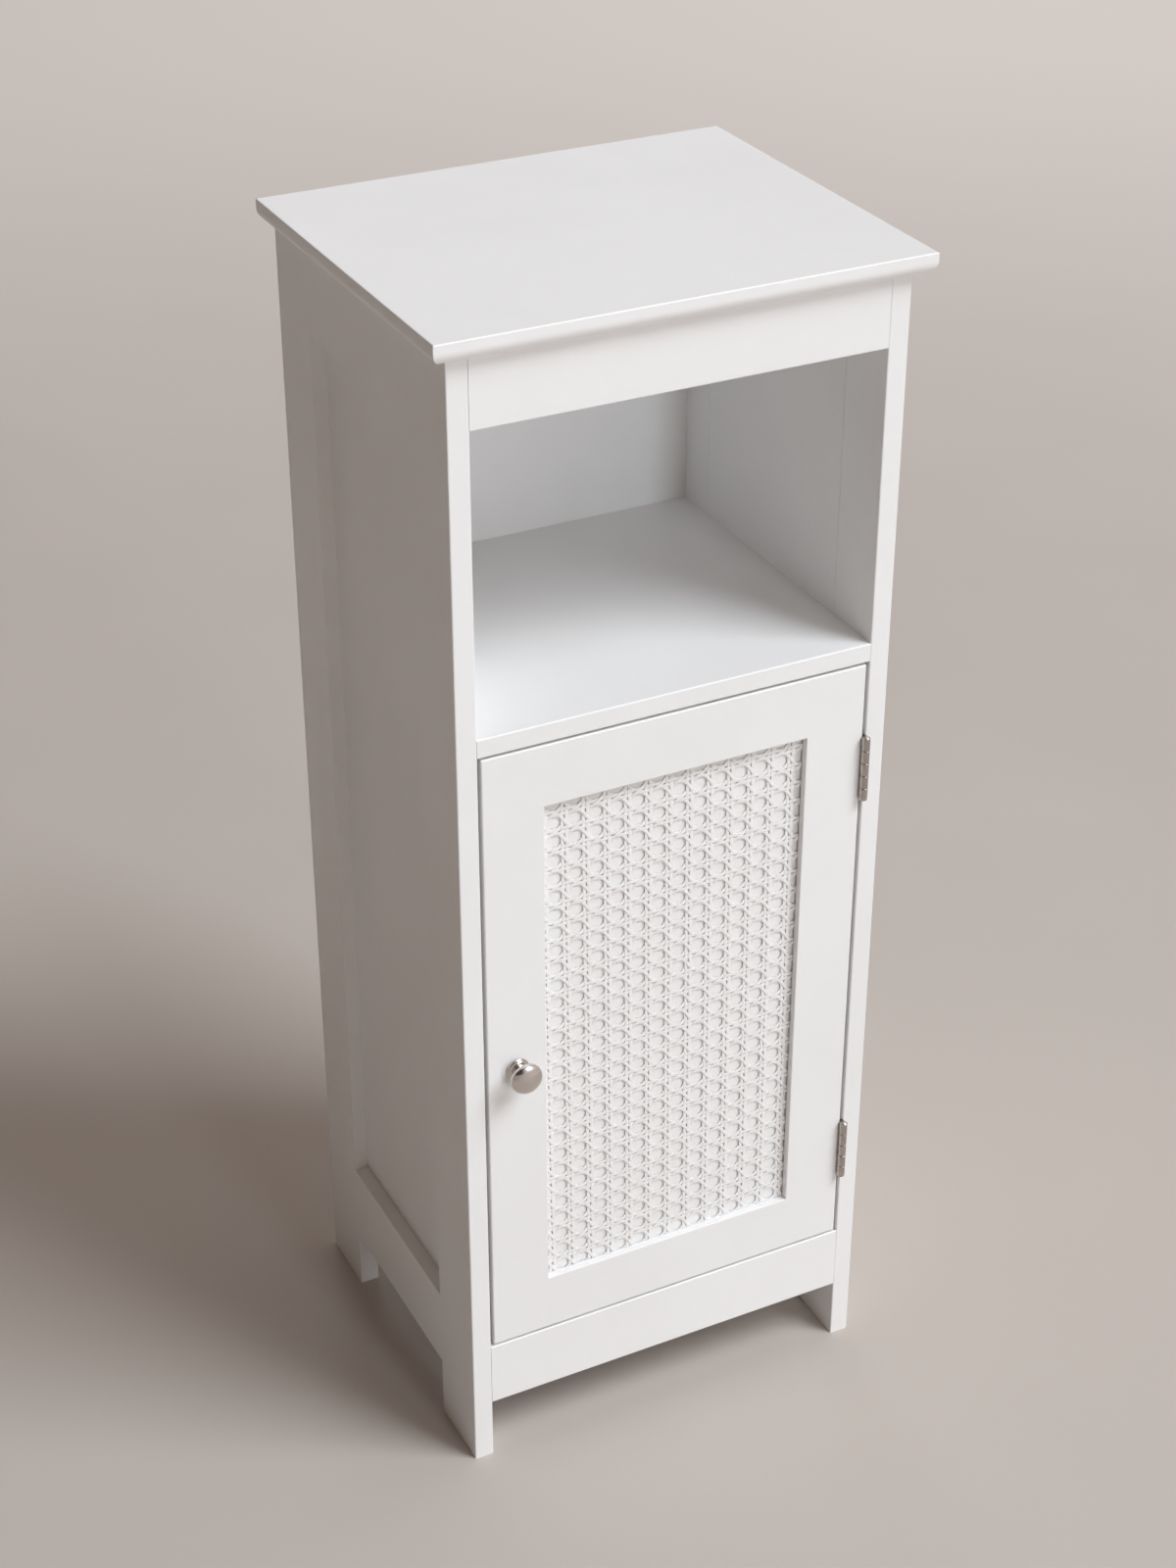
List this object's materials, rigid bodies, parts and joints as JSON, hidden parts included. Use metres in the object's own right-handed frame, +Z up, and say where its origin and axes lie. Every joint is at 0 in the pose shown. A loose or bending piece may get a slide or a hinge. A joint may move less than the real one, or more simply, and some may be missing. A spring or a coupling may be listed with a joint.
{
  "type": "bathroom cabinet",
  "caption": "Tall narrow free-standing bathroom cabinet with an open niche on top and a cupboard below, closed by a hinged door with a woven cane panel.",
  "frame": {"origin": "on the floor, in the middle of the box that holds the whole cabinet, knob included", "axes": "+X to the right as seen from the front, +Y to the back, +Z up; the door faces -Y"},
  "size_m": [0.35, 0.3, 0.9],
  "materials": {
    "white_paint": "satin white paint",
    "cane": "split cane, woven, painted white",
    "backing": "matt white sheet",
    "bare_wood": "sanded",
    "nickel": "satin nickel plate",
    "zinc_steel": "zinc plate",
    "catch_plastic": "moulded",
    "magnet": "dull black"
  },
  "bodies": {
    "carcass": {"top_board": "white_paint", "left_front_leg": "white_paint", "left_rear_leg": "white_paint", "left_top_rail": "white_paint", "left_bottom_rail": "white_paint", "left_side_panel": "white_paint", "right_front_leg": "white_paint", "right_rear_leg": "white_paint", "right_top_rail": "white_paint", "right_bottom_rail": "white_paint", "right_side_panel": "white_paint", "apron_rail": "white_paint", "kick_rail": "white_paint", "rear_top_rail": "white_paint", "rear_bottom_rail": "white_paint", "fixed_shelf": "white_paint", "cupboard_floor": "white_paint", "back_panel": "white_paint", "inner_shelf": "white_paint", "corner_blocks": "bare_wood", "shelf_supports": "zinc_steel", "catch_housing": "catch_plastic", "catch_magnet": "magnet", "upper_hinge_frame_leaf": "nickel", "upper_hinge_pin": "nickel", "lower_hinge_frame_leaf": "nickel", "lower_hinge_pin": "nickel"},
    "door": {"door_frame": "white_paint", "cane_webbing": "cane", "cane_backing": "backing", "top_bead": "white_paint", "bottom_bead": "white_paint", "left_bead": "white_paint", "right_bead": "white_paint", "knob": "nickel", "knob_screw": "zinc_steel", "strike_plate": "zinc_steel", "upper_hinge_door_leaf": "nickel", "lower_hinge_door_leaf": "nickel"}
  },
  "joints": [
    {"name": "door_hinge", "type": "hinge", "parent": "carcass", "child": "door", "pos_m": [0.14675, -0.1322, 0], "axis": [0, 0, 1], "range_deg": [0, 170]}
  ]
}
